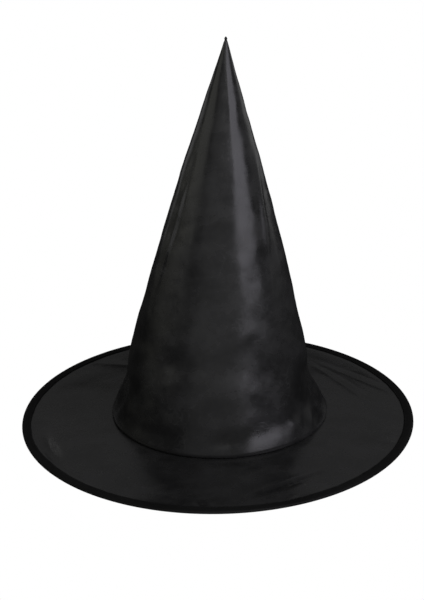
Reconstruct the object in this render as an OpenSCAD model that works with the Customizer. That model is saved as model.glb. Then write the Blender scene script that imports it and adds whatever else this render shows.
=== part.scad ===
// Pointed witch hat of black nylon cloth: a lined cone crown sewn to a flat wired brim.
// The hat stands on its brim. Z is up, the front is -Y and the crown's back seam is at +Y.
// The origin is the centre of the brim's edge, on the surface that the hat stands on.

/* [Brim] */
// Outside diameter of the brim, over its binding
brim_d = 372; // [365:1:395]
// Height of the crown seam above the brim's flat edge
brim_rise = 7.2; // [4:0.1:12]
// Width of the binding tape that shows on each face
binding_w = 9; // [8:0.5:12]
// Diameter of the spring wire in the brim's edge
wire_d = 1.2; // [1:0.05:1.25]

/* [Crown] */
// Height of the whole hat, from the table to the point
hat_h = 376; // [366:1:386]
// Radius of the crown where it is sewn to the brim
base_r = 103; // [102:0.5:106]
// Radius of the crown at its waist, above the flared skirt
waist_r = 84.7; // [84:0.1:87]
// Height of the flared skirt, from the seam to the waist
skirt_h = 51; // [48:1:55]
// How far the skirt flares out past the line of the cone
flare = 6.8; // [5.5:0.1:8]
// How far the cone's side swells outwards, as a share of its waist radius
swell = 0.22; // [0.1:0.01:0.25]
// Sideways lean of the crown per millimetre of height
lean = 0.036; // [0:0.001:0.04]

/* [Head band] */
// Distance round the inside of the sweatband
head_girth = 572; // [560:1:573]
// Height of the sweatband
band_h = 20; // [16:1:21]

/* [Label] */
// Width of the hanging label
label_w = 24; // [18:1:26]
// Length of the hanging label
label_l = 38; // [30:1:40]

/* [Cloth] */
// Thickness of the crown cloth, the brim cloth and the binding tape
cloth_t = 0.5; // [0.45:0.01:0.5]
// Thickness of the stiff lining inside the crown
lining_t = 0.8; // [0.6:0.05:0.9]

/* [Hidden] */
$fn = 128;
gap = 0.1;                     // play between layers of cloth
brim_r = brim_d / 2;
stack_t = 1.8;                 // the three layers of the brim together
face_t = 0.45;                 // top cloth and underside cloth of the brim
pad_t = stack_t - 2 * face_t - 2 * gap;
edge_t = stack_t + 2 * cloth_t; // thickness of the brim over its binding
flat_r = brim_r - binding_w - 2; // the brim is flat outside this radius
base_z = cloth_t + stack_t + brim_rise; // top of the brim at the crown seam
waist_z = base_z + skirt_h;
tip_r = 1;                     // the point of the crown is this blunt
tack_h = 2.6;                  // height of the thread knob on the point
cone_top = hat_h - tack_h;
band_r = head_girth / (2 * PI);
band_t = 0.6;
band_bottom = base_z - stack_t;
inner_edge_r = band_r + band_t + gap; // inner edge of the brim, round the sweatband
seam_w = 8;                    // width of the folded seam allowance at the back
seam_t = 0.8;
thread_w = 0.4;                // width of a line of stitches
thread_t = 0.2;
wall_t = cloth_t + gap + lining_t; // crown cloth and lining together
wire_ring_r = brim_r - edge_t / 2;
wire_gap_deg = 0.4;            // the wire's two ends nearly meet at the back
sleeve_deg = 4;                // arc of the sleeve that joins them
label_t = 0.3;
label_z = base_z + 72;         // height of the label's top edge

function smooth(x) = let (t = min(max(x, 0), 1)) t * t * (3 - 2 * t);

// Outer radius of the crown at height z: a slightly swollen cone above the waist,
// and below it the same slope with a flare added.
cone_h = cone_top - waist_z;
cone_slope = (waist_r - tip_r) * (1 - swell) / cone_h;
swell_fade = 0.7;              // the swelling dies away towards the point
function cone_r(z) = let (u = (z - waist_z) / cone_h)
    tip_r + (waist_r - tip_r) * (1 - u) * (1 + swell * u * (1 - swell_fade * u));
function skirt_r(z) = let (v = (waist_z - z) / skirt_h)
    waist_r + cone_slope * (waist_z - z) + flare * smooth((v - 0.4) / 0.5)
    + (base_r - waist_r - cone_slope * skirt_h - flare) * v;
function crown_r(z) = z < waist_z ? skirt_r(z) : cone_r(z);

// Heights at which the crown's outline has a corner, from z0 up to z1.
skirt_step = 4;
cone_step = 26;
function heights(z0, z1) = concat(
    [z0],
    [for (z = [base_z + skirt_step : skirt_step : waist_z]) if (z > z0 + 1 && z < z1 - 1) z],
    [for (z = [waist_z + skirt_step : cone_step : cone_top]) if (z > z0 + 1 && z < z1 - 1) z],
    [z1]);

// Cross-section of a layer that lies inset inside the crown's outer face.
module layer(z0, z1, inset, thick) {
    zs = heights(z0, z1);
    outer = [for (z = zs) [crown_r(z) - inset, z]];
    inner = [for (i = [len(zs) - 1 : -1 : 0]) [crown_r(zs[i]) - inset - thick, zs[i]]];
    polygon(concat(outer, inner));
}

// Tilts the crown's layers sideways, with their base flat on the brim.
function crown_shift(z) = lean * (z - base_z);
module leaning() {
    multmatrix([[1, 0, lean, crown_shift(0)], [0, 1, 0, 0], [0, 0, 1, 0], [0, 0, 0, 1]])
        children();
}

// A leaning body of revolution, made in quarters.
module leaning_revolve() {
    for (a = [0 : 90 : 270]) leaning() rotate([0, 0, a]) rotate_extrude(angle = 90) children();
}

// Height of the lower face of the brim's layers at radius r.
function brim_z(r) = cloth_t + brim_rise * min(max((flat_r - r) / (flat_r - base_r), 0), 1);

// One layer of the brim, from lift above the lower face to lift + thick.
layer_r = wire_ring_r - 1.2;   // the layers end just inside the wire
module brim_layer(lift, thick) {
    rs = [inner_edge_r, base_r, flat_r, layer_r];
    rotate_extrude()
        polygon(concat([for (r = rs) [r, brim_z(r) + lift]],
            [for (i = [3 : -1 : 0]) [rs[i], brim_z(rs[i]) + lift + thick]]));
}

// A flat line of stitches that runs round the hat.
module thread_ring(r, z) {
    rotate_extrude() translate([r, z]) square([thread_w, thread_t]);
}

module crown_shell() color([0.10, 0.10, 0.11]) {
    shell_top = cone_top - 6;
    hem = [[inner_edge_r, base_z], [inner_edge_r, base_z + face_t]];
    zs = heights(base_z, cone_top);
    zi = heights(base_z + face_t, shell_top);
    leaning_revolve()
        polygon(concat(
            [for (z = zs) [crown_r(z), z]],
            [[0, cone_top], [0, shell_top]],
            [for (i = [len(zi) - 1 : -1 : 0]) [crown_r(zi[i]) - cloth_t, zi[i]]],
            [hem[1], hem[0]]));
}

lining_bottom = base_z + face_t + 1;
lining_top = cone_top - 22;
module crown_lining() color([0.16, 0.16, 0.17])
    leaning_revolve() layer(lining_bottom, lining_top, cloth_t + gap, lining_t);

// A strip of the crown's wall at the back, as wide as w.
module back_strip(w, inset, thick, z0, z1) {
    leaning() intersection() {
        rotate_extrude() layer(z0, z1, inset, thick);
        translate([-w / 2, 0, 0]) cube([w, 2 * base_r, hat_h]);
    }
}

seam_z0 = band_bottom + band_h + 6;
seam_z1 = cone_top - 60;
module back_seam_allowance() color([0.12, 0.12, 0.13])
    back_strip(seam_w, wall_t + gap, seam_t, seam_z0, seam_z1);

module back_seam_stitching() color([0.05, 0.05, 0.05])
    back_strip(thread_w, wall_t + gap + seam_t, thread_t, seam_z0 + 2, seam_z1 - 2);

module tip_tack() color([0.05, 0.05, 0.05]) {
    knob_r = tip_r + 0.3;
    translate([crown_shift(cone_top), 0, cone_top]) rotate_extrude()
        polygon(concat([[0, 0]], [for (a = [0 : 15 : 90])
            [knob_r * cos(a), tack_h * sin(a)]]));
}

module brim_top() color([0.10, 0.10, 0.11])
    brim_layer(stack_t - face_t, face_t);

module brim_interlining() color([0.16, 0.16, 0.17])
    brim_layer(face_t + gap, pad_t);

module brim_underside() color([0.10, 0.10, 0.11])
    brim_layer(0, face_t);

module brim_wire() color("silver")
    rotate([0, 0, 90 + wire_gap_deg / 2])
        rotate_extrude(angle = 360 - wire_gap_deg)
            translate([wire_ring_r, edge_t / 2]) circle(d = wire_d, $fn = 32);

module wire_sleeve() color("darkgray")
    rotate([0, 0, 90 - sleeve_deg / 2])
        rotate_extrude(angle = sleeve_deg)
            translate([wire_ring_r, edge_t / 2]) difference() {
                circle(d = stack_t - 0.04, $fn = 32);
                circle(d = wire_d + 0.04, $fn = 32);
            }

stitch_r = brim_r - binding_w + 1.2;
module brim_binding() color([0.05, 0.05, 0.05])
    rotate_extrude() difference() {
        union() {
            translate([brim_r - binding_w, 0]) square([binding_w - edge_t / 2, edge_t]);
            translate([wire_ring_r, edge_t / 2]) circle(d = edge_t, $fn = 48);
        }
        translate([brim_r - binding_w - 1, cloth_t])
            square([binding_w + 1 - edge_t / 2, stack_t]);
        translate([wire_ring_r, edge_t / 2]) circle(d = stack_t, $fn = 48);
        for (z = [0, edge_t - thread_t])
            translate([stitch_r, z]) square([thread_w, thread_t]);
    }

module binding_stitching() color([0.08, 0.08, 0.08])
    for (z = [0, edge_t - thread_t]) thread_ring(stitch_r, z);

module base_seam_stitching() color([0.08, 0.08, 0.08])
    thread_ring(base_r - 4, band_bottom - thread_t);

module sweatband() color([0.12, 0.12, 0.12])
    translate([0, 0, band_bottom]) difference() {
        cylinder(r = band_r + band_t, h = band_h);
        translate([0, 0, -1]) cylinder(r = band_r, h = band_h + 2);
    }

module sweatband_stitching() color([0.08, 0.08, 0.08])
    thread_ring(band_r + band_t, base_z + face_t + 1.5);

// The label hangs from its top edge, just inside the back seam.
label_y = crown_r(label_z) - wall_t - gap - seam_t - 0.9;
module care_label() color("whitesmoke")
    translate([crown_shift(label_z) - label_w / 2, label_y - label_t / 2,
        label_z - label_l - label_t / 2])
        cube([label_w, label_t, label_l]);

module label_stitching() color([0.08, 0.08, 0.08])
    translate([crown_shift(label_z) - label_w / 2 + 1, label_y, label_z + 0.4])
        cube([label_w - 2, thread_t, 1]);

crown_shell();
crown_lining();
back_seam_allowance();
back_seam_stitching();
tip_tack();
brim_top();
brim_interlining();
brim_underside();
brim_wire();
wire_sleeve();
brim_binding();
binding_stitching();
base_seam_stitching();
sweatband();
sweatband_stitching();
care_label();
label_stitching();
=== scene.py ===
# %% [markdown]
# # A witch hat of black nylon
#
# The hat is sewn from a few flat pieces of cloth: a sector that rolls up into the tall cone, two rings
# for the brim with a stiffener between them, a tape that binds the brim's edge over a spring wire, and a
# soft band round the head opening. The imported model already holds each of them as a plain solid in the
# right place. This lesson gives every piece the look of cloth, in metres and in the same frame.

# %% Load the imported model
import math

import bmesh
import bpy
import numpy as np
from mathutils import Matrix, Vector, noise


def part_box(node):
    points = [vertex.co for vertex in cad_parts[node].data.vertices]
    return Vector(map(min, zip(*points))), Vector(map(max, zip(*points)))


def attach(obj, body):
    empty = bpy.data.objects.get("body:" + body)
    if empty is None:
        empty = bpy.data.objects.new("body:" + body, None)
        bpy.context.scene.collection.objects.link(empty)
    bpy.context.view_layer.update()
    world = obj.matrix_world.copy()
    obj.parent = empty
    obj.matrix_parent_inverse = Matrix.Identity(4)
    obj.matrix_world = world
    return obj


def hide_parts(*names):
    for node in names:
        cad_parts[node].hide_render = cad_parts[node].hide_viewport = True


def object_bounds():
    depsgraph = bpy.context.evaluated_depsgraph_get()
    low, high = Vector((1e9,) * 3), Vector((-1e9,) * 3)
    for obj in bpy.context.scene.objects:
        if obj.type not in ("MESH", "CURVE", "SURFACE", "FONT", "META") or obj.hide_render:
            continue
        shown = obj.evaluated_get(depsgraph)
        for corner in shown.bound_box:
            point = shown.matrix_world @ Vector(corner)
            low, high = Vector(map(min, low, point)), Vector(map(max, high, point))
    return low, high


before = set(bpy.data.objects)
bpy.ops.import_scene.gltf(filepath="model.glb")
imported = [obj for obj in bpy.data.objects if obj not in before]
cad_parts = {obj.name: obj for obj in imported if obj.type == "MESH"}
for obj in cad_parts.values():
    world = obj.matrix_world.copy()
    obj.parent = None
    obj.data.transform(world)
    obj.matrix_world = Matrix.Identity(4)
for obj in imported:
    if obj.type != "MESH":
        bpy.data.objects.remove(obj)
cad_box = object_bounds()

# %% [markdown]
# ## Measures
#
# A piece that has to fit another takes its place from the frame and never from a typed number. The
# brim's binding gives the outer radius, the sweatband gives the head opening, and the brim's layers give
# the height of the crown seam.

# %% Measures from the frame
MM = 0.001
FULL_TURN = 2 * math.pi
binding_low, binding_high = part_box("brim_binding")
BRIM_R = binding_high.x
EDGE_T = binding_high.z - binding_low.z
band_low, band_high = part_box("sweatband")
BAND_R = band_high.x
SEAM_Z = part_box("brim_top")[1].z
UNDER_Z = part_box("base_seam_stitching")[1].z
TIP_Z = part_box("crown_shell")[1].z
HAT_H = cad_box[1].z
LAYER_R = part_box("brim_top")[1].x
STITCH_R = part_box("binding_stitching")[1].x
BASE_STITCH_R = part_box("base_seam_stitching")[1].x
lining_low, lining_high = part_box("crown_lining")
allowance_low, allowance_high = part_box("back_seam_allowance")
label_low, label_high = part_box("care_label")
CLOTH_T = 0.45 * MM


def added(name, data):
    """A new object in the scene."""
    made = bpy.data.objects.new(name, data)
    bpy.context.scene.collection.objects.link(made)
    return made


print(f"brim {2 * BRIM_R:.3f} m across, crown seam at {SEAM_Z:.4f} m, height {HAT_H:.3f} m")

# %% [markdown]
# ## Camera
#
# The camera stands in front of the hat (towards -Y), a little above it, and looks at a point on the
# crown. A long lens from almost two metres keeps the brim's ellipse from bulging. The camera comes first
# because everything after it is judged through it.

# %% Camera
CAMERA_DISTANCE = 1.9
CAMERA_ELEVATION = math.radians(23.65)
CAMERA_ROLL = math.radians(-1.06)
CAMERA_TARGET = Vector((-0.0033, 0.0, 0.1228))
FILM_WIDTH, LENS = 36.0, 122.56  # millimetres


def add_camera():
    data = bpy.data.cameras.new("camera")
    data.sensor_width, data.lens = FILM_WIDTH, LENS
    data.clip_start, data.clip_end = 0.01, 60.0
    camera = added("camera", data)
    back = Vector((0.0, -math.cos(CAMERA_ELEVATION), math.sin(CAMERA_ELEVATION)))
    turn = (-back).to_track_quat("-Z", "Y").to_matrix() @ Matrix.Rotation(CAMERA_ROLL, 3, "Z")
    camera.matrix_world = Matrix.Translation(CAMERA_TARGET + back * CAMERA_DISTANCE) @ turn.to_4x4()
    bpy.context.scene.camera = camera
    return camera


camera = add_camera()
bpy.context.scene.view_settings.view_transform = "Standard"
print("camera at", [round(x, 3) for x in camera.location])

# %% [markdown]
# ## Shader arithmetic
#
# A pattern such as a weave is a formula. Building it from nodes by hand hides the formula, so one small
# class wraps a node's output and lets ordinary operators add the Math nodes. Everything else that isn't
# arithmetic comes from one method that takes the node's type, its settings and what goes in its sockets.


# %% A number that flows through a material
class Number:
    def __init__(self, finish, socket):
        self.finish, self.socket = finish, socket

    def math(self, operation, *values):
        return self.finish.node("ShaderNodeMath", {"operation": operation}, dict(enumerate(values)))

    def __add__(self, other):
        return self.math("ADD", self, other)

    def __sub__(self, other):
        return self.math("SUBTRACT", self, other)

    def __rsub__(self, other):
        return self.math("SUBTRACT", other, self)

    def __mul__(self, other):
        return self.math("MULTIPLY", self, other)

    __radd__, __rmul__ = __add__, __mul__

    def sine(self):
        return self.math("SINE", self)

    def size(self):
        return self.math("ABSOLUTE", self)

    def between(self, low, high):
        """0 below low, 1 above high and a smooth step from one to the other."""
        return self.finish.node(
            "ShaderNodeMapRange", {"interpolation_type": "SMOOTHSTEP"},
            {"Value": self, "From Min": low, "From Max": high})


# %% A material and its nodes
class Finish:
    def __init__(self, name, sockets):
        self.material = bpy.data.materials.new(name)
        self.material.use_nodes = True
        self.tree = self.material.node_tree
        self.shader = self.tree.nodes["Principled BSDF"]
        for socket, value in sockets.items():
            self.into(socket, value)

    def link(self, value, socket):
        if isinstance(value, Number):
            self.tree.links.new(value.socket, socket)
        else:
            socket.default_value = value

    def into(self, socket, value):
        self.link(value, self.shader.inputs[socket])

    def node(self, kind, settings=None, sockets=None, out=0):
        made = self.tree.nodes.new(kind)
        for setting, value in (settings or {}).items():
            setattr(made, setting, value)
        for socket, value in (sockets or {}).items():
            self.link(value, made.inputs[socket])
        return Number(self, made.outputs[out])

    def cut_place(self):
        """Metres on the flat cut of the cloth."""
        return self.node("ShaderNodeUVMap", {"uv_map": "UVMap"})

    def solid_place(self):
        """Metres in the hat's own frame."""
        return self.node("ShaderNodeTexCoord", out="Object")

    def axes(self, place):
        return [self.node("ShaderNodeSeparateXYZ", None, {0: place}, out=i) for i in range(3)]

    def stretched(self, place, across, along):
        """The place with its two measures multiplied, which makes a pattern finer along them."""
        return self.node("ShaderNodeVectorMath", {"operation": "MULTIPLY"},
                         {0: place, 1: (across, along, 1.0)})

    def cloud(self, place, size, detail):
        return self.node("ShaderNodeTexNoise", None,
                         {"Vector": place, "Scale": 1 / size, "Detail": detail})

    def colours(self, amount, dark, light):
        """From dark at 0 to light at 1."""
        return self.node("ShaderNodeMix", {"data_type": "RGBA"},
                         {0: amount, 6: (*dark, 1), 7: (*light, 1)}, out=2)

    def bumps(self, height, depth, strength, under=None):
        """A normal for the shader, laid over another one where there is one."""
        sockets = {"Height": height, "Distance": depth, "Strength": strength}
        if under is not None:
            sockets["Normal"] = under
        return self.node("ShaderNodeBump", None, sockets)


# %% [markdown]
# ## Coated nylon
#
# The crown and the brim are a close plain weave of black nylon with a thin coating. From a distance it
# is a soft gloss that breaks up into clouds. Near to, the threads cross every third of a millimetre. A
# picture of cloth could be used, but a formula has no edges and no resolution, so the weave is two
# crossed sine waves on the cloth's own flat measures. The clouds are noise that turns the colour and the
# roughness up and down. Use shows on the folds as paler crests, and the hollows are painted darker as
# shade. The mesh carries both as one mark, because only the shape knows its crests and hollows. Fine
# creases run where one noise passes through its middle value.

# %% Black nylon
WEAVE_PITCH = 0.36 * MM
CLOUD_SIZE, SCUFF_SIZE, CREASE_SIZE, CREASED_PATCH = 34 * MM, 6 * MM, 34 * MM, 60 * MM


def black_nylon():
    cloth = Finish("black_nylon", {"Specular IOR Level": 0.42})
    place = cloth.cut_place()
    across, along, _ = cloth.axes(place)
    mottle = cloth.cloud(cloth.stretched(place, 1.0, 1.5), CLOUD_SIZE, 3.0).between(0.30, 0.74)
    scuff = cloth.cloud(place, SCUFF_SIZE, 4.0)
    wear_and_painted_light = cloth.node("ShaderNodeAttribute", {"attribute_name": "wear_and_painted_light"}, out="Fac")
    crease = 1 - (cloth.cloud(place, CREASE_SIZE, 3.0) - 0.5).size().between(0.0, 0.010)
    crease = crease * cloth.cloud(place, CREASED_PATCH, 1.0).between(0.48, 0.60)
    # The mark from the mesh makes fold crests paler for wear and hollows darker as painted shade.
    shade = mottle * 0.44 + scuff * 0.42 + wear_and_painted_light * 0.32 + crease * 0.35
    cloth.into("Base Color", cloth.colours(shade, (0.0095, 0.0095, 0.0097), (0.0270, 0.0270, 0.0274)))
    cloth.into("Roughness", 0.17 + mottle * 0.10 + scuff * 0.10 + wear_and_painted_light * 0.04)
    turns = FULL_TURN / WEAVE_PITCH
    weave = (across * turns).sine() * (along * turns).sine()
    crinkle = cloth.bumps(scuff * 0.7 + crease * 0.5, 0.12 * MM, 0.5)
    cloth.into("Normal", cloth.bumps(weave, 0.006 * MM, 0.4, crinkle))
    return cloth.material


NYLON = black_nylon()
print("made", NYLON.name)

# %% [markdown]
# ## Stiff lining
#
# The stiffener behind the nylon is a felt of short pressed fibres. It has no weave and no direction, so
# it needs no flat measures, and noise at two sizes is enough: the fibres, which also raise the bumps, and
# paler and darker patches.


# %% Lining finish
def stiff_lining():
    felt = Finish("stiff_lining", {"Roughness": 0.9, "Specular IOR Level": 0.2})
    place = felt.solid_place()
    fibres = felt.cloud(place, 1.2 * MM, 5.0)
    patches = felt.cloud(place, 25 * MM, 2.0)
    felt.into("Base Color", felt.colours(
        fibres * 0.6 + patches * 0.4, (0.030, 0.030, 0.032), (0.080, 0.080, 0.083)))
    felt.into("Normal", felt.bumps(fibres, 0.15 * MM, 0.6))
    return felt.material


LINING = stiff_lining()
print("made", LINING.name)

# %% [markdown]
# ## Ribbed tape
#
# The binding and the sweatband are woven tapes with fine ribs across them. The ribs could be modelled,
# but there are thousands on a metre of tape, so a sine along the tape's own length bumps the surface. The
# binding has no coating and is the blackest thing on the hat, except where painted sheen lightens its rim
# in patches, most at the front.


# %% Tape finish
def ribbed_tape(name, dark, light, rib, roughness):
    tape = Finish(name, {"Specular IOR Level": 0.13})
    place = tape.cut_place()
    _, along, _ = tape.axes(place)
    ribs = (along * (FULL_TURN / rib)).sine()
    fuzz = tape.cloud(place, 0.8 * MM, 3.0)
    wear = tape.cloud(place, 18 * MM, 2.0)
    wear_and_painted_light = tape.node("ShaderNodeAttribute", {"attribute_name": "wear_and_painted_light"}, out="Fac")
    # The mark from the mesh lightens the binding's rim as painted sheen; the sweatband carries none.
    tape.into("Base Color", tape.colours(fuzz * 0.2 + wear * 0.2 + wear_and_painted_light * 0.6, dark, light))
    tape.into("Roughness", roughness + wear * 0.1)
    tape.into("Normal", tape.bumps(ribs * 0.5 + fuzz, 0.05 * MM, 0.5))
    return tape.material


BINDING = ribbed_tape(
    "binding_tape", (0.0006, 0.0006, 0.0006), (0.0105, 0.0105, 0.0105), rib=0.7 * MM, roughness=0.55)
BAND = ribbed_tape(
    "sweatband_tape", (0.012, 0.012, 0.013), (0.050, 0.050, 0.053), rib=1.1 * MM, roughness=0.65)
print("made", BINDING.name, BAND.name)

# %% [markdown]
# ## Thread, metal and satin
#
# Thread is plies twisted together, and at a third of a millimetre thick a slanting sine shows the twist.
# The spring wire and its sleeve are drawn metal with faint streaks, hidden in the binding but finished
# all the same. The label's satin shines in soft bands along its threads, over a little soil.


# %% Thread finish
def black_thread():
    thread = Finish("black_thread", {"Specular IOR Level": 0.3})
    x, y, z = thread.axes(thread.solid_place())
    twist = ((x + y + z) * (FULL_TURN / (0.5 * MM))).sine()
    thread.into("Base Color", thread.colours(
        twist * 0.5 + 0.5, (0.006, 0.006, 0.007), (0.016, 0.016, 0.017)))
    thread.into("Roughness", 0.62 + twist * 0.06)
    return thread.material


THREAD = black_thread()
print("made", THREAD.name)


# %% Metal finish
def drawn_metal(name, dark, light, roughness):
    metal = Finish(name, {"Metallic": 1.0})
    streaks = metal.cloud(metal.solid_place(), 0.6 * MM, 4.0)
    metal.into("Base Color", metal.colours(streaks, dark, light))
    metal.into("Roughness", roughness + streaks * 0.15)
    return metal.material


STEEL = drawn_metal("spring_wire", (0.42, 0.42, 0.43), (0.62, 0.62, 0.63), 0.25)
SLEEVE = drawn_metal("crimp_sleeve", (0.60, 0.60, 0.62), (0.75, 0.75, 0.77), 0.3)
print("made", STEEL.name, SLEEVE.name)


# %% Satin finish
def label_satin():
    satin = Finish("label_satin", {"Specular IOR Level": 0.5})
    place = satin.cut_place()
    across, _, _ = satin.axes(place)
    bands = (across * (FULL_TURN / (0.7 * MM))).sine()
    soil = satin.cloud(place, 9 * MM, 3.0)
    satin.into("Base Color", satin.colours(soil, (0.74, 0.74, 0.72), (0.84, 0.84, 0.825)))
    satin.into("Roughness", 0.38 + soil * 0.12 + bands * 0.02)
    satin.into("Normal", satin.bumps(bands, 0.02 * MM, 0.4))
    return satin.material


SATIN = label_satin()
print("made", SATIN.name, "and now there are", len(bpy.data.materials), "materials")

# %% [markdown]
# ## The crown's shape
#
# The crown is a cone that has lived in a bag. Its outline swells a little, it leans, and above the seam
# it flares into a skirt. One short list of heights carries the outline and the lean, and a smooth curve
# joins them. On top come the folds, each one a soft hollow or ridge with a place, a size and a slant. A
# cloth simulation could wrinkle the crown, but this cloth is sewn tight over a stiff lining and can't sag:
# its creases come from packing. They are listed one by one, and seeded noise adds small ripples between
# them.

# %% Outline and lean of the crown
# Height above the table, radius, and sideways shift of the centre, in millimetres.
CROWN_OUTLINE = [
    (9.5, 103, 2.2),
    (22, 98.9, 1.6),
    (39, 93.4, 0.4),
    (61, 87.2, 0.9),
    (83, 80.8, 1.6),
    (119, 72, 3.2),
    (174, 58.1, 5.4),
    (248, 37.9, 7.9),
    (321, 16.3, 10.8),
    (373.4, 1, 13.2),
]


def smooth_through(heights, values):
    """A curve through the points that never overshoots them."""
    h, v = np.array(heights), np.array(values)
    slopes = np.diff(v) / np.diff(h)
    tangents = np.concatenate([[slopes[0]], (slopes[1:] + slopes[:-1]) / 2, [slopes[-1]]])
    turning = np.concatenate([[False], slopes[1:] * slopes[:-1] <= 0, [False]])
    tangents[turning] = 0.0

    def curve(x):
        x = np.clip(x, h[0], h[-1])
        i = np.clip(np.searchsorted(h, x) - 1, 0, len(h) - 2)
        w = h[i + 1] - h[i]
        t = (x - h[i]) / w
        start = (1 + 2 * t) * (1 - t) ** 2 * v[i] + t * (1 - t) ** 2 * w * tangents[i]
        end = t * t * (3 - 2 * t) * v[i + 1] + t * t * (t - 1) * w * tangents[i + 1]
        return start + end

    return curve


outline_h, outline_r, outline_x = np.array(CROWN_OUTLINE).T * MM
crown_radius = smooth_through(outline_h, outline_r)
crown_centre = smooth_through(outline_h, outline_x)
print("crown radius at the seam and halfway:", crown_radius(SEAM_Z), crown_radius(TIP_Z / 2))

# %% Folds of the crown
# Azimuth in degrees from the front towards the wearer's left, height, half-width round the crown,
# half-height, slant in degrees, and depth (hollows are negative). Lengths in millimetres.
CROWN_FOLDS = [
    (-95, 44, 38, 15, 0, -4.6),
    (92, 45, 34, 16, 0, -4.8),
    (10, 335, 1.6, 34, -4, 0.35),
    (-62, 212, 4, 46, 3, -1.2),
    (-74, 205, 5, 46, 3, 0.9),
    (54, 214, 2.8, 34, 7, 1.2),
    (62, 212, 3, 30, 7, -0.5),
    (61, 185, 3, 22, -6, 0.5),
    (47, 176, 8, 14, -20, -0.6),
    (-80, 33, 7, 9, 20, -2.6),
    (-60, 46, 12, 10, -10, -1.2),
    (-66, 90, 14, 24, 12, -0.9),
    (84, 33, 7, 7, -10, -2.4),
    (68, 88, 22, 5, 38, 1.2),
    (60, 72, 16, 6, 30, -1),
    (46, 27, 5, 3, 20, 1),
    (53, 22, 2.6, 5, 15, -0.8),
    (60, 21, 2.6, 5, 15, 0.7),
    (68, 18, 5, 5, 0, -1),
    (22, 27, 32, 6, -3, -1),
    (2, 26, 15, 5, 0, -1.1),
    (27, 147, 13, 17, 0, 0.95),
    (-12, 150, 20, 12, 25, -0.5),
    (-32, 92, 18, 12, 10, -0.5),
    (-8, 72, 20, 9, 15, 0.4),
    (130, 44, 14, 12, 10, -2),
    (-140, 40, 14, 10, -15, -2),
    (150, 180, 5, 60, 2, -0.9),
    (110, 120, 12, 16, 30, -0.8),
    (-140, 110, 16, 12, -20, -0.8),
]


def folds(azimuth, height, radius, listed, level_cloth=False):
    """The depth of all the listed folds at each point. On level cloth they run straight, and the
    height is the distance from the hat's middle."""
    depth = np.zeros_like(height)
    for at, level, half_width, half_height, slant, deep in listed:
        off = (azimuth - math.radians(at) + math.pi) % FULL_TURN - math.pi
        if level_cloth:
            across, up = radius * np.sin(off), radius * np.cos(off) - level * MM
        else:
            across, up = off * radius, height - level * MM
        c, s = math.cos(math.radians(slant)), math.sin(math.radians(slant))
        a = (across * c - up * s) / (half_width * MM)
        b = (across * s + up * c) / (half_height * MM)
        depth += deep * MM * np.exp(-0.5 * (a * a + b * b))
    return depth


def ripples(points, size, seed):
    """Smooth noise from -1 to 1 whose bumps are about size across."""
    shift = Vector((seed * 7.3, seed * 3.1, seed * 5.7))
    flat = points.reshape(-1, 3)
    return np.array([noise.noise(Vector(p) / size + shift) for p in flat]).reshape(points.shape[:-1])


SEAM_DEPTH, SEAM_HALF_WIDTH = 0.7 * MM, 1.6 * MM
# The mark makes crests paler for wear and darkens hollows as painted shade.
FULL_MARK_DEPTH = 1.5 * MM  # a fold this deep or high is fully marked


def seam_groove(from_seam):
    """How far the back seam pulls the cloth in."""
    return -SEAM_DEPTH * np.exp(-(from_seam / SEAM_HALF_WIDTH) ** 2)


def crown_surface(azimuth, height, inset):
    """Places on the crown, inset from its outer face, and the mark: 1 on crests, paler for wear, and -1 in
    hollows, darker as painted shade.
    """
    step = 0.5 * MM
    lean = (crown_radius(height + step) - crown_radius(height - step)) / (2 * step)
    r, x = crown_radius(height), crown_centre(height)
    plain = np.stack([x + r * np.sin(azimuth), -r * np.cos(azimuth), height], axis=-1)
    tilt = np.hypot(1.0, lean)
    normal = np.stack([np.sin(azimuth) / tilt, -np.cos(azimuth) / tilt, -lean / tilt], axis=-1)
    deep = folds(azimuth, height, r, CROWN_FOLDS)
    # Ripples fade towards the point, the crown seam and the back seam, which hold the cloth.
    from_back = (math.pi - abs(azimuth)) * r
    free = np.clip((TIP_Z - height) / (60 * MM), 0, 1) * np.clip((height - SEAM_Z) / (12 * MM), 0, 1)
    free = free * (1 - np.exp(-(from_back / (9 * MM)) ** 2))
    soft = (ripples(plain, 30 * MM, 1) * 0.75 + ripples(plain, 14 * MM, 2) * 0.30
            + ripples(plain, 6 * MM, 3) * 0.09) * MM
    out = deep * np.clip((height - SEAM_Z) / (4 * MM), 0, 1) + soft * free
    out = out + seam_groove(from_back) - inset
    return plain + normal * out[..., None], np.clip(deep / FULL_MARK_DEPTH, -1, 1)


# %% [markdown]
# ## Building a sheet of cloth
#
# Every cloth piece is a grid that runs round the hat and up or outwards. One builder turns a grid of
# places into a mesh, writes the flat measures of the cloth as its UV map, and marks its crests and
# hollows: paler for wear on crests and darker as painted shade in hollows, or painted sheen on the
# binding's rim. Another gives it thickness with Solidify, so each piece is a closed sheet as on the real
# hat. A lathe would be quicker, but it doesn't know the cloth's flat cut.


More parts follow.
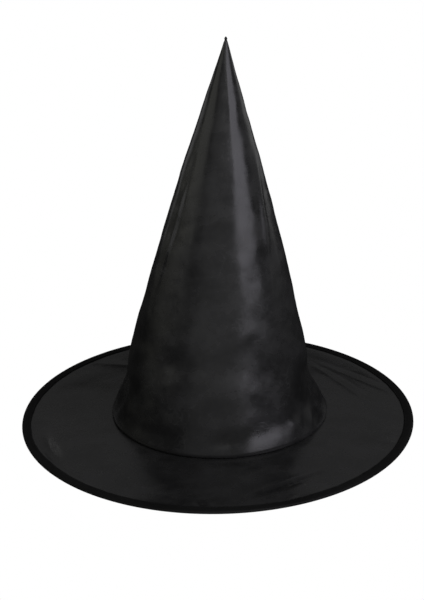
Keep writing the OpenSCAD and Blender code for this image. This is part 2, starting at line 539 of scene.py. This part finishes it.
# %% Grid to mesh
def sheet_from_grid(name, places, flat, material, wear_and_painted_light=None, ring=True, pole=False):
    """places is rows by columns by 3, and flat the same by 2. A ring's last column is its first."""
    rows, columns = places.shape[:2]
    wide = columns - 1 if ring else columns
    vertices = [tuple(p) for p in places[:, :wide].reshape(-1, 3)]
    faces, corners = [], []
    for i in range(rows - 1):
        for j in range(columns - 1):
            k = (j + 1) % wide
            faces.append((i * wide + j, i * wide + k, (i + 1) * wide + k, (i + 1) * wide + j))
            corners += [flat[i, j], flat[i, j + 1], flat[i + 1, j + 1], flat[i + 1, j]]
    if pole:
        vertices.append(tuple(places[-1, :wide].mean(axis=0)))
        base = (rows - 1) * wide
        for j in range(wide):
            faces.append((base + j, base + (j + 1) % wide, len(vertices) - 1))
            corners += [flat[-1, j], flat[-1, j + 1], flat[-1].mean(axis=0)]
    mesh = bpy.data.meshes.new(name)
    mesh.from_pydata(vertices, [], faces)
    mesh.materials.append(material)
    mesh.polygons.foreach_set("use_smooth", [True] * len(faces))
    mesh.uv_layers.new(name="UVMap").data.foreach_set("uv", np.array(corners, dtype=np.float32).ravel())
    # The mark: paler for wear on crests, darker as painted shade in hollows, lighter as painted sheen on
    # the binding's rim.
    marks = np.zeros(len(vertices), dtype=np.float32)
    if wear_and_painted_light is not None:
        marks[: rows * wide] = wear_and_painted_light[:, :wide].ravel()
    mesh.attributes.new("wear_and_painted_light", "FLOAT", "POINT").data.foreach_set("value", marks)
    return added(name, mesh)


def made_plain(piece):
    """Turns a piece with modifiers into the plain mesh that it shows."""
    graph = bpy.context.evaluated_depsgraph_get()
    shown = piece.evaluated_get(graph)
    made = bpy.data.meshes.new_from_object(shown, preserve_all_data_layers=True, depsgraph=graph)
    old = piece.data
    piece.modifiers.clear()
    piece.data = made
    bpy.data.meshes.remove(old)
    made.name = piece.name
    return piece


def thicken(piece, thickness):
    """Adds the wall behind the piece's outer face."""
    wall = piece.modifiers.new("wall", "SOLIDIFY")
    wall.thickness = thickness
    wall.offset = -1.0
    return made_plain(piece)


def around(columns):
    """Azimuths right round the hat, from the back past the front to the back again."""
    return np.linspace(-math.pi, math.pi, columns + 1)


# %% [markdown]
# ## Crown cloth
#
# The crown is one sector of cloth rolled into a cone and closed by a seam at the back. Flat, it is a
# sector with the cone's slant as its radius, so each point's flat measures are its distance from the
# tip and its angle round the hat, shrunk by the cone's own opening. The weave then runs true from the
# front to the back seam and breaks there, which a cone's ordinary unwrapping would not give. At its foot
# the cloth turns in under a small roll, which makes the dark line of the seam, and runs on as the flange
# that is sewn to the brim.

# %% Crown grid
CROWN_COLUMNS, CROWN_STEP = 252, 2.7 * MM


def crown_heights(low, high, step):
    """Heights whose rows are step apart along the slope, and each row's distance from the top one."""
    fine = np.linspace(low, high, 2000)
    along = np.concatenate([[0.0], np.cumsum(np.hypot(np.diff(fine), np.diff(crown_radius(fine))))])
    rows = np.linspace(0, along[-1], int(along[-1] / step) + 1)
    return np.interp(rows, along, fine), along[-1] - rows


SLANT = crown_heights(SEAM_Z, TIP_Z, CROWN_STEP)[1][0]
OPENING = crown_radius(SEAM_Z) / SLANT
SECTOR_AREA = 0.5 * SLANT ** 2 * FULL_TURN * OPENING
SECTOR_WIDTH = 2 * SLANT * math.sin(min(math.pi * OPENING, math.pi / 2))


def crown_grid(low, high, columns, step, inset):
    heights, slant = crown_heights(low, high, step)
    a, h = np.meshgrid(around(columns), heights)
    places, wear_and_painted_light = crown_surface(a, h, inset)
    turned = a * OPENING
    flat = np.stack([slant[:, None] * np.sin(turned), -slant[:, None] * np.cos(turned)], axis=-1)
    return places, wear_and_painted_light, flat


print("sector:", round(SLANT, 4), "m slant, flat area", round(SECTOR_AREA, 4), "m2")

# %% Crown cloth with its roll and flange
ROLL = 1.1 * MM
# How far in from the crown's first row, and how high above the brim, in millimetres.
FOOT = [(9, 0), (5, 0), (1.9, 0.05), (1.2, 0.35), (0.5, 1.1)]


def crown_foot(first_places, first_flat):
    """Rows that run from the flange up the roll to the crown's first row."""
    middle = np.array([crown_centre(SEAM_Z), 0.0, 0.0])
    away = first_places - middle
    reach = np.hypot(away[:, 0], away[:, 1])[:, None]
    foot_places, foot_flat = [], []
    for inward, above in np.array(FOOT) * MM:
        row = middle + away * (reach - inward) / reach
        row[:, 2] = SEAM_Z + 0.02 * MM + above
        foot_places.append(row)
        foot_flat.append(first_flat * (1 + (inward + 1.0 * MM) / SLANT))
    return np.array(foot_places), np.array(foot_flat)


def crown_cloth():
    places, wear_and_painted_light, flat = crown_grid(SEAM_Z + 2 * ROLL, TIP_Z, CROWN_COLUMNS, CROWN_STEP, 0.0)
    foot_places, foot_flat = crown_foot(places[0], flat[0])
    places = np.concatenate([foot_places, places])
    flat = np.concatenate([foot_flat, flat])
    wear_and_painted_light = np.concatenate([np.zeros((len(FOOT), wear_and_painted_light.shape[1])), wear_and_painted_light])
    piece = sheet_from_grid("crown_cloth", places, flat, NYLON, wear_and_painted_light, pole=True)
    return thicken(piece, CLOTH_T)


crown = crown_cloth()
print("crown cloth:", len(crown.data.polygons), "faces")

# %% [markdown]
# ## Crown lining and the back seam's allowance
#
# The stiffener follows the cloth a hair behind it, so it comes from the same surface with an inset. It
# shows only from below. Inside it, at the back, lie the two turned-in edges of the cloth, pressed open
# on both sides of the seam.

# %% Lining
LINING_T, LINING_GAP = 0.7 * MM, 0.2 * MM
places, wear_and_painted_light, flat = crown_grid(lining_low.z, lining_high.z, 168, 4.2 * MM, CLOTH_T + LINING_GAP)
lining = sheet_from_grid("stiff_crown_lining", places, flat, LINING)
thicken(lining, LINING_T)
print("lining:", len(lining.data.polygons), "faces")

# %% Seam allowance
ALLOWANCE_W, ALLOWANCE_T = 8 * MM, 0.5 * MM
BEHIND_LINING = CLOTH_T + LINING_T + 0.45 * MM


def allowance_sheet():
    rows, columns = 110, 13
    heights = np.linspace(allowance_low.z, allowance_high.z, rows)
    across = np.linspace(-ALLOWANCE_W / 2, ALLOWANCE_W / 2, columns)
    s, h = np.meshgrid(across, heights)
    azimuth = math.pi + s / crown_radius(h)
    azimuth = np.where(azimuth > math.pi, azimuth - FULL_TURN, azimuth)
    # The cut edges lift off the lining and wave a little. The seam's groove is taken out again.
    edge = (2 * s / ALLOWANCE_W) ** 2
    lift = 0.35 * MM * edge + 0.25 * MM * np.sin(h / (9 * MM)) * edge
    inset = BEHIND_LINING + np.maximum(lift, 0) + seam_groove(s)
    places, _ = crown_surface(azimuth, h, inset)
    flat = np.stack([s, h], axis=-1)
    piece = sheet_from_grid("seam_allowance", places, flat, NYLON, ring=False)
    return thicken(piece, ALLOWANCE_T)


allowance = allowance_sheet()
print("seam allowance:", len(allowance.data.polygons), "faces")

# %% [markdown]
# ## The brim
#
# The brim is three rings of cloth that lie on each other like a sandwich: nylon, stiffener, nylon. They
# share one surface, which rises from the flat edge to the crown seam, so each layer is that surface with
# its own lift and can't pass through its neighbour. The edge stays flat where the wire and the tape hold
# it. Inside it the cloth has soft waves and a few shallow, straight folds.

# %% Folds of the brim
# The same list for the brim, with the radius in the height's place.
BRIM_FOLDS = [
    (-68, 167.5, 17, 4, -6, -1.9),
    (19, 157, 22, 2.8, 13, -1.1),
    (20, 151, 24, 2.6, 13, 0.8),
    (18, 120, 16, 3, 12, -0.7),
    (120, 134.5, 34, 3, 0, -0.7),
    (120, 141, 34, 3, 4, 0.6),
    (119, 155, 32, 3.4, 18, -0.7),
    (119, 162, 26, 3, 18, 0.5),
    (-20, 130, 14, 12, 0, -0.5),
    (-9, 172.5, 2.5, 2, 20, 0.6),
    (-6, 171.5, 2, 3, 30, -0.8),
    (-3, 172.5, 2, 2.5, 20, 0.5),
    (8.6, 166, 2.5, 2, 0, 0.5),
    (22, 173, 3, 2, 10, 0.5),
    (70, 150, 20, 8, 20, -0.5),
    (-100, 140, 14, 14, -30, -0.6),
    (-140, 150, 4, 24, 30, -0.7),
    (170, 150, 5, 20, -25, -0.7),
]
FLAT_R = BRIM_R - 13 * MM
STACK_T = SEAM_Z - UNDER_Z
LAYER_T = 0.4 * MM


def brim_height(azimuth, radius, lift):
    """Height of the brim's surface, lift above its lower face."""
    inner = crown_radius(SEAM_Z)
    share = np.clip((FLAT_R - radius) / (FLAT_R - inner), 0, 1)
    low = (EDGE_T - STACK_T) / 2
    rise = low + (UNDER_Z - low) * (0.8 * share + 0.2 * share * share * (3 - 2 * share))
    held_in = np.clip((radius - inner) / (8 * MM), 0, 1)
    free = np.clip((FLAT_R - radius) / (10 * MM), 0, 1) * held_in
    loose = np.clip((LAYER_R - 6.5 * MM - radius) / (3 * MM), 0, 1) * held_in
    around_hat = np.stack([radius * np.sin(azimuth), -radius * np.cos(azimuth), 0 * radius], axis=-1)
    soft = (ripples(around_hat, 42 * MM, 11) * 0.8 + ripples(around_hat, 16 * MM, 12) * 0.15
            + ripples(around_hat, 6 * MM, 13) * 0.03) * MM
    deep = folds(azimuth, radius, radius, BRIM_FOLDS, level_cloth=True)
    # The second value is the mark: paler for wear on crests, darker as painted shade in hollows.
    return rise + soft * free + deep * loose + lift, np.clip(deep / (1.2 * MM), -1, 1)


def brim_layer(name, material, lift, thickness, rows, columns, upwards):
    radii = np.linspace(BAND_R + 0.15 * MM, LAYER_R, rows)
    a, r = np.meshgrid(around(columns), radii)
    z, wear_and_painted_light = brim_height(a, r, lift)
    places = np.stack([r * np.sin(a), -r * np.cos(a), z], axis=-1)
    flat = places[..., :2]
    if upwards:
        places, flat, wear_and_painted_light = places[::-1], flat[::-1], wear_and_painted_light[::-1]
    piece = sheet_from_grid(name, places, flat, material, wear_and_painted_light)
    return thicken(piece, thickness)


# %% Three layers of the brim
brim_top = brim_layer("brim_top_cloth", NYLON, STACK_T, LAYER_T, 76, 500, True)
stiffener = brim_layer("brim_stiffener", LINING, STACK_T - 0.5 * MM, 0.8 * MM, 24, 200, True)
brim_under = brim_layer("brim_under_cloth", NYLON, 0.0, LAYER_T, 60, 360, False)
for layer in (brim_top, stiffener, brim_under):
    print(layer.name, len(layer.data.polygons), "faces")

# %% [markdown]
# ## Binding tape
#
# A woven tape is folded over the brim's edge and sewn through, so its section is a hairpin: flat above,
# round the wire, and flat below. A bevelled curve could sweep that round the brim, but its inner edge
# would be a perfect circle. Sewing pulls the real tape in and out by fractions of a millimetre, and lifts
# it between stitches, so the tape is a grid as well.

# %% Binding
TAPE_T = 0.42 * MM
BINDING_W = BRIM_R - STITCH_R + 1.6 * MM
# Where the tape was pulled a little further over the edge, in the form of the folds.
TAPE_PULLS = [(-74, 0, 26, 10, 0, 0.9), (19, 0, 16, 10, 0, 0.8)]


def hairpin():
    """The tape's outer section: distance in from the brim's edge, height, and length along the tape."""
    round_r = EDGE_T / 2
    top = [(x, EDGE_T) for x in np.linspace(BINDING_W, round_r, 9)]
    bend = [(round_r * (1 - math.cos(t)), round_r * (1 + math.sin(t)))
            for t in np.linspace(math.pi / 2, -math.pi / 2, 11)[1:-1]]
    under = [(x, 0.0) for x in np.linspace(round_r, BINDING_W, 9)]
    section = np.array(top + bend + under)
    along = np.concatenate([[0.0], np.cumsum(np.hypot(*np.diff(section, axis=0).T))])
    return section, along


def painted_rim_sheen(azimuth, rim):
    """Painted sheen on the rim, in patches, strongest at the front."""
    return np.cos(azimuth / 2) ** 6 * np.clip(0.8 + ripples(rim, 45 * MM, 24) * 0.8, 0, 1)


def binding_sheet():
    section, along = hairpin()
    a, inward = np.meshgrid(around(760), section[:, 0])
    z = np.repeat(section[:, 1:2], a.shape[1], axis=1)
    r = BRIM_R - inward
    rim = np.stack([r * np.sin(a), -r * np.cos(a), z], axis=-1)
    freedom = np.clip((inward - 3 * MM) / (BINDING_W - 3 * MM), 0, 1)
    pull = ripples(rim, 11 * MM, 21) * 0.45 * MM + ripples(rim, 4 * MM, 22) * 0.12 * MM
    puff = ripples(rim, 7 * MM, 23) * 0.10 * MM
    r = r + (pull + folds(a, 0 * a, BRIM_R, TAPE_PULLS)) * freedom
    share = np.clip(inward / BINDING_W, 0, 1)
    swell = 4 * share * (1 - share) * 0.45 * MM
    z = z + np.where(z > EDGE_T / 2, puff + swell, 0.0) * np.clip(inward / (3 * MM), 0, 1)
    places = np.stack([r * np.sin(a), -r * np.cos(a), z], axis=-1)
    flat = np.stack([np.repeat(along[:, None], a.shape[1], axis=1), a * BRIM_R], axis=-1)
    # Painted sheen on the rim, strongest at the front.
    wear_and_painted_light = painted_rim_sheen(a, rim)
    piece = sheet_from_grid("binding_tape", places[::-1], flat[::-1], BINDING, wear_and_painted_light[::-1])
    return thicken(piece, TAPE_T), along[-1]


binding, TAPE_W = binding_sheet()
print("binding:", len(binding.data.polygons), "faces, tape", round(TAPE_W, 4), "m wide")

# %% [markdown]
# ## Sweatband and label
#
# The sweatband is a ribbed tape that stands inside the head opening. Nothing stretches it, so its upper
# edge waves a little. The care label is a blank piece of satin ribbon that hangs from its top edge and
# curls slightly, as ribbon does off the roll. Both are so short and stiff that a formula for the wave and
# the curl gives what a simulation would.

# %% Sweatband
BAND_T = 0.5 * MM


def sweatband_sheet():
    rows = np.linspace(band_low.z, band_high.z, 12)
    a, z = np.meshgrid(around(240), rows)
    rim = np.stack([BAND_R * np.sin(a), -BAND_R * np.cos(a), z], axis=-1)
    upper = (z - band_low.z) / (band_high.z - band_low.z)
    r = BAND_R - BAND_T + ripples(rim, 26 * MM, 31) * 0.5 * MM * upper
    z = z + ripples(rim, 30 * MM, 32) * 0.4 * MM * upper
    places = np.stack([r * np.sin(a), -r * np.cos(a), z], axis=-1)
    flat = np.stack([z, a * BAND_R], axis=-1)
    piece = sheet_from_grid("sweatband_tape", places[::-1], flat[::-1], BAND)
    return thicken(piece, -BAND_T)


sweatband = sweatband_sheet()
print("sweatband:", len(sweatband.data.polygons), "faces")


# %% Label
def label_sheet():
    width, length = label_high.x - label_low.x, label_high.z - label_low.z
    s, d = np.meshgrid(np.linspace(0, width, 17), np.linspace(0, length, 25))
    curl = 1.6 * MM * (d / length) ** 2 + 0.5 * MM * (2 * s / width - 1) ** 2 * (d / length)
    places = np.stack([label_low.x + s, label_high.y - curl, label_high.z - d], axis=-1)
    flat = np.stack([s, d], axis=-1)
    piece = sheet_from_grid("satin_label", places[::-1, ::-1], flat[::-1, ::-1], SATIN, ring=False)
    return thicken(piece, 0.25 * MM), (width, length)


label, LABEL_CUT = label_sheet()
print("label cut:", [round(x, 4) for x in LABEL_CUT])

# %% [markdown]
# ## Stitches
#
# A sewing machine lays one short bowed length of thread after another. That is a rule, so Geometry Nodes
# make it: the path is cut into equal steps, one stitch is put on each step, laid along the path and
# turned to the cloth's own outward side. The path carries that side as an attribute. The stitch is a
# bow-shaped curve with a round section, and every size is a named input of the tree.


# %% Tree that sews a path
class Tree:
    """A node group for a Geometry Nodes modifier, with named inputs."""

    def __init__(self, name):
        self.group = bpy.data.node_groups.new(name, "GeometryNodeTree")
        self.sockets = {}
        self.input("Path", "NodeSocketGeometry")
        self.group.interface.new_socket("Stitches", in_out="OUTPUT", socket_type="NodeSocketGeometry")
        self.source = self.group.nodes.new("NodeGroupInput")
        self.result = self.group.nodes.new("NodeGroupOutput")

    def input(self, name, kind):
        self.sockets[name] = self.group.interface.new_socket(name, in_out="INPUT", socket_type=kind)

    def node(self, kind, settings=None, sockets=None):
        made = self.group.nodes.new(kind)
        for setting, value in (settings or {}).items():
            setattr(made, setting, value)
        for socket, value in (sockets or {}).items():
            if isinstance(value, bpy.types.Node):
                value = value.outputs[0]
            if isinstance(value, bpy.types.NodeSocket):
                self.group.links.new(value, made.inputs[socket])
            else:
                made.inputs[socket].default_value = value
        return made


def sewing_tree():
    tree = Tree("sewn_line")
    for name in ("Stitch length", "Pitch", "Thread", "Bow"):
        tree.input(name, "NodeSocketFloat")
    tree.input("Seed", "NodeSocketInt")
    tree.input("Material", "NodeSocketMaterial")
    given = tree.source.outputs
    multiply = {"operation": "MULTIPLY"}
    half = tree.node("ShaderNodeMath", multiply, {0: given["Stitch length"], 1: 0.5})
    back = tree.node("ShaderNodeMath", multiply, {0: half, 1: -1.0})
    start = tree.node("ShaderNodeCombineXYZ", None, {"X": back})
    end = tree.node("ShaderNodeCombineXYZ", None, {"X": half})
    crest = tree.node("ShaderNodeCombineXYZ", None, {"Z": given["Bow"]})
    bow = tree.node("GeometryNodeCurveQuadraticBezier", None, {
        "Resolution": 6, "Start": start, "Middle": crest, "End": end})
    radius = tree.node("ShaderNodeMath", multiply, {0: given["Thread"], 1: 0.5})
    section = tree.node("GeometryNodeCurvePrimitiveCircle", None, {"Resolution": 7, "Radius": radius})
    stitch = tree.node("GeometryNodeCurveToMesh", None, {
        "Curve": bow, "Profile Curve": section, "Fill Caps": True})
    path = tree.node("GeometryNodeMeshToCurve", None, {"Mesh": given["Path"]})
    steps = tree.node("GeometryNodeCurveToPoints", {"mode": "LENGTH"}, {
        "Curve": path, "Length": given["Pitch"]})
    outward = tree.node("GeometryNodeInputNamedAttribute", {"data_type": "FLOAT_VECTOR"}, {
        "Name": "outward"})
    facing = tree.node("FunctionNodeAlignRotationToVector", {"axis": "Z"}, {"Vector": outward})
    laid = tree.node("FunctionNodeAlignRotationToVector", {"axis": "X", "pivot_axis": "Z"}, {
        "Rotation": facing, "Vector": steps.outputs["Tangent"]})
    wobble = tree.node("FunctionNodeRandomValue", {"data_type": "FLOAT"}, {
        2: math.radians(-4), 3: math.radians(4), "Seed": given["Seed"]})
    slant = tree.node("ShaderNodeCombineXYZ", None, {"Z": wobble.outputs[1]})
    turned = tree.node("FunctionNodeRotateRotation", {"rotation_space": "LOCAL"}, {
        "Rotation": laid, "Rotate By": slant})
    sewn = tree.node("GeometryNodeInstanceOnPoints", None, {
        "Points": steps.outputs["Points"], "Instance": stitch, "Rotation": turned})
    real = tree.node("GeometryNodeRealizeInstances", None, {"Geometry": sewn})
    smooth = tree.node("GeometryNodeSetShadeSmooth", None, {"Geometry": real})
    coloured = tree.node("GeometryNodeSetMaterial", None, {
        "Geometry": smooth, "Material": given["Material"]})
    tree.group.links.new(coloured.outputs[0], tree.result.inputs[0])
    return tree


SEWING = sewing_tree()
print("sewing tree:", len(SEWING.group.nodes), "nodes")


# %% Sew a line
def sewn_line(name, lines, length, pitch, thread, seed):
    """lines is a list of (places, outward directions, closed)."""
    vertices, edges, outward = [], [], []
    for points, directions, closed in lines:
        first = len(vertices)
        vertices += [tuple(p) for p in points]
        outward += [tuple(d) for d in directions]
        edges += [(first + i, first + i + 1) for i in range(len(points) - 1)]
        if closed:
            edges.append((len(vertices) - 1, first))
    mesh = bpy.data.meshes.new(name)
    mesh.from_pydata(vertices, edges, [])
    sides = mesh.attributes.new("outward", "FLOAT_VECTOR", "POINT")
    sides.data.foreach_set("vector", np.array(outward, dtype=np.float32).ravel())
    piece = added(name, mesh)
    sewing = piece.modifiers.new("sewing", "NODES")
    sewing.node_group = SEWING.group
    given = {"Stitch length": length, "Pitch": pitch, "Thread": thread, "Bow": thread * 0.9,
             "Seed": seed, "Material": THREAD}
    for words, value in given.items():
        sewing[SEWING.sockets[words].identifier] = value
    made_plain(piece)
    carried = piece.data.attributes.get("outward")
    if carried:
        piece.data.attributes.remove(carried)
    print(name, len(piece.data.polygons), "faces")
    return piece


def circle_line(radius, height, outward, count=360):
    """A level circle of stitches. outward is the cloth's side as (radial, up)."""
    a = np.linspace(0, FULL_TURN, count, endpoint=False)
    radial = np.stack([np.sin(a), -np.cos(a), 0 * a], axis=-1)
    places = radial * radius + np.array([0.0, 0.0, height])
    sides = radial * outward[0] + np.array([0, 0, outward[1]])
    return places, sides, True


# %% Where the straight rows run
def back_seam_line():
    h = np.linspace(allowance_low.z + 2 * MM, allowance_high.z - 2 * MM, 90)
    inset = BEHIND_LINING + ALLOWANCE_T + 0.05 * MM - SEAM_DEPTH
    places, _ = crown_surface(np.full_like(h, math.pi), h, inset)
    return places, np.tile([0.0, -1.0, -0.2], (len(h), 1)), False


def label_line():
    low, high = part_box("label_stitching")
    x = np.linspace(low.x, high.x, 12)
    places = np.stack([x, np.full_like(x, low.y), np.full_like(x, (low.z + high.z) / 2)], axis=-1)
    return places, np.tile([0.0, -1.0, 0.0], (len(x), 1)), False


# %% All the rows of stitches
FINE = {"length": 2.3 * MM, "pitch": 2.9 * MM, "thread": 0.30 * MM}
LONG = {"length": 2.76 * MM, "pitch": 3.4 * MM, "thread": 0.32 * MM}
SMALL = {"length": 1.7 * MM, "pitch": 2.2 * MM, "thread": 0.30 * MM}
SUNK = 0.2 * MM  # how far a row lies inside the outer edge of its plain solid

binding_stitches = sewn_line("binding_stitches", [
    circle_line(STITCH_R - SUNK, EDGE_T + 0.02 * MM, (0, 1), 720),
    circle_line(STITCH_R - SUNK, 0.16 * MM, (0, -1), 720)], seed=1, **FINE)
base_stitches = sewn_line("base_seam_stitches", [
    circle_line(BASE_STITCH_R - SUNK, UNDER_Z, (0, -1))], seed=2, **LONG)
band_stitches = sewn_line("sweatband_stitches", [
    circle_line(BAND_R - BAND_T, band_low.z + 2.5 * MM, (-1, 0))], seed=3, **LONG)
back_stitches = sewn_line("back_seam_stitches", [back_seam_line()], seed=4, **FINE)
label_stitches = sewn_line("label_stitches", [label_line()], seed=5, **SMALL)

# %% [markdown]
# ## The wrapped point
#
# At the very top the cloth is gathered and closed with a few turns of thread. It could be a stack of
# rings, but thread is one length, so it is a helix that narrows as it climbs: a curve with a round bevel,
# turned into a mesh.


# %% Point
def tip_wrap():
    low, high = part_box("tip_tack")
    middle = (low + high) / 2
    turns, steps = 6, 16  # steps to a turn
    curve = bpy.data.curves.new("tip_wrap", "CURVE")
    curve.dimensions = "3D"
    curve.bevel_depth, curve.bevel_resolution, curve.use_fill_caps = 0.28 * MM, 2, True
    line = curve.splines.new("POLY")
    line.points.add(turns * steps)
    for i, point in enumerate(line.points):
        t = i / (turns * steps)
        r = (high.x - low.x) / 2 * (1 - t * t) * 0.8 + 0.1 * MM
        a = FULL_TURN * turns * t
        z = low.z + (high.z - low.z - 0.3 * MM) * t
        point.co = (middle.x + r * math.cos(a), middle.y + r * math.sin(a), z, 1)
    spool = added("tip_wrap", curve)
    graph = bpy.context.evaluated_depsgraph_get()
    mesh = bpy.data.meshes.new_from_object(spool.evaluated_get(graph))
    bpy.data.objects.remove(spool)
    mesh.materials.clear()
    mesh.materials.append(THREAD)
    mesh.polygons.foreach_set("use_smooth", [True] * len(mesh.polygons))
    return added("tip_wrap", mesh)


tip = tip_wrap()
print("tip wrap:", len(tip.data.polygons), "faces")

# %% [markdown]
# ## Studio
#
# Black cloth shows almost nothing but what it reflects, so each lamp is there for one part of the hat. A
# tall key at the right draws the long highlight, and its lower edge decides where that ends. A high and a
# wide one in front fill the cloth. Lamps at the sides and behind stand where the edges of the cone, the
# brim and its creases mirror them, and all are broad and soft, so that no shadow is hard. The bounce
# from below only fills, and is hidden from gloss. The floor and the backdrop are pale and even, and only
# the camera sees them, so that they don't wash out the black.


# %% A softbox
def softbox(name, azimuth, elevation, distance, width, height, radiance, tint=(1.0, 1.0, 1.0)):
    """An area light that faces the crown. Azimuth 0 is the front and 90 the wearer's left."""
    data = bpy.data.lights.new(name, "AREA")
    data.shape = "RECTANGLE"
    data.size, data.size_y = width, height
    data.energy = radiance * math.pi * width * height
    data.color = tint
    lamp = added(name, data)
    a, e = math.radians(azimuth), math.radians(elevation)
    away = Vector((math.sin(a) * math.cos(e), -math.cos(a) * math.cos(e), math.sin(e)))
    lamp.matrix_world = (Matrix.Translation(Vector((0, 0, HAT_H * 0.45)) + away * distance)
                         @ (-away).to_track_quat("-Z", "Y").to_matrix().to_4x4())
    lamp.visible_camera = False
    return lamp


# %% Lights
# Name, azimuth, elevation, distance, width, height, radiance and, where it isn't white, tint.
LAMPS = [
    ("key_softbox", 49, 16.5, 1.0, 0.77, 0.55, 2.35, (0.92, 0.90, 1.0)),
    ("high_softbox", 24, 50, 1.3, 1.4, 1.1, 1.4),
    ("wide_softbox", 0, 8, 2.6, 4.0, 2.5, 0.205),
    ("left_softbox", -80, 21, 1.5, 1.3, 0.9, 0.6, (1.0, 1.0, 0.92)),
    ("low_left_softbox", -98, 0, 0.8, 0.6, 0.3, 0.12, (1.0, 1.0, 0.85)),
    ("right_softbox", 106, 1, 0.8, 0.55, 0.32, 0.18),
    ("upper_left_softbox", -130, 5, 0.65, 0.34, 0.2, 0.40),
    ("upper_right_softbox", 130, 5, 0.65, 0.34, 0.22, 0.50),
    ("rear_softbox", 180, 24, 2.2, 1.8, 0.95, 0.125),
    ("rear_high_softbox", 180, 41, 2.2, 1.8, 0.45, 0.19),
    ("rear_left_softbox", -150, 33, 2.2, 0.35, 0.4, 0.6),
    ("floor_bounce", 0, -35, 2.2, 2.0, 1.0, 4.6),
]
ROOM_GLOW = 0.013
lamps = {row[0]: softbox(*row) for row in LAMPS}
lamps["floor_bounce"].visible_glossy = False
world = bpy.data.worlds.new("room")
world.use_nodes = True
world.node_tree.nodes["Background"].inputs["Color"].default_value = (ROOM_GLOW,) * 3 + (1,)
bpy.context.scene.world = world
print("lamps:", ", ".join(lamps))


# %% Floor and backdrop
def pale_stage(name, clear_from_below):
    """An even pale glow, which can be looked through from below."""
    pale = bpy.data.materials.new(name)
    pale.use_nodes = True
    tree = pale.node_tree
    tree.nodes.remove(tree.nodes["Principled BSDF"])
    light = surface = tree.nodes.new("ShaderNodeEmission")
    if clear_from_below:
        side = tree.nodes.new("ShaderNodeNewGeometry")
        clear = tree.nodes.new("ShaderNodeBsdfTransparent")
        surface = tree.nodes.new("ShaderNodeMixShader")
        for i, given in enumerate([side.outputs["Backfacing"], light.outputs[0], clear.outputs[0]]):
            tree.links.new(given, surface.inputs[i])
    tree.links.new(surface.outputs[0], tree.nodes["Material Output"].inputs["Surface"])
    return pale


def stage_piece(name, shape, clear_from_below):
    """Puts the finished shape on the stage, seen by the camera alone."""
    mesh = bpy.data.meshes.new(name)
    shape.to_mesh(mesh)
    shape.free()
    mesh.materials.append(pale_stage("pale_" + name, clear_from_below))
    piece = added(name, mesh)
    for ray in ("diffuse", "glossy", "transmission", "volume_scatter", "shadow"):
        setattr(piece, "visible_" + ray, False)


disc, dome = bmesh.new(), bmesh.new()
bmesh.ops.create_circle(disc, cap_ends=True, segments=96, radius=8.0)
bmesh.ops.create_uvsphere(dome, u_segments=48, v_segments=24, radius=9.0)
bmesh.ops.reverse_faces(dome, faces=dome.faces)
stage_piece("floor", disc, clear_from_below=True)
stage_piece("backdrop", dome, clear_from_below=False)
print("stage set")

# %% [markdown]
# ## Pieces on their bodies
#
# Each piece rides on the body that carries it, and the plain solid that it stands for is hidden. Only
# the label rides on a body of its own, since it swings from its stitches. The wire and its sleeve are
# rigid, and their solids already have the right shape, so they only get their metal.

# %% Pieces, bodies, slots and the solid each replaces
PIECES = [
    (crown, "hat", "black_nylon", "crown_shell"),
    (lining, "hat", "stiff_lining", "crown_lining"),
    (allowance, "hat", "black_nylon", "back_seam_allowance"),
    (brim_top, "hat", "black_nylon", "brim_top"),
    (stiffener, "hat", "stiff_lining", "brim_interlining"),
    (brim_under, "hat", "black_nylon", "brim_underside"),
    (binding, "hat", "binding_tape", "brim_binding"),
    (sweatband, "hat", "sweatband_tape", "sweatband"),
    (label, "label", "label_satin", "care_label"),
    (binding_stitches, "hat", "black_thread", "binding_stitching"),
    (base_stitches, "hat", "black_thread", "base_seam_stitching"),
    (band_stitches, "hat", "black_thread", "sweatband_stitching"),
    (back_stitches, "hat", "black_thread", "back_seam_stitching"),
    (label_stitches, "hat", "black_thread", "label_stitching"),
    (tip, "hat", "black_thread", "tip_tack"),
]
for piece, body, slot, solid in PIECES:
    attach(piece, body)
    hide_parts(solid)
print("pieces:", len(PIECES))

# %% Flat area of the lining's cut
LINING_SHARE = 0.98  # the lining is cut a little smaller than the crown cloth
SECTOR_AREA * LINING_SHARE

# %% Solids that keep their shape
for node, metal in {"brim_wire": STEEL, "wire_sleeve": SLEEVE}.items():
    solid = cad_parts[node]
    solid.data.materials.clear()
    solid.data.materials.append(metal)
    print(node, "in", metal.name)
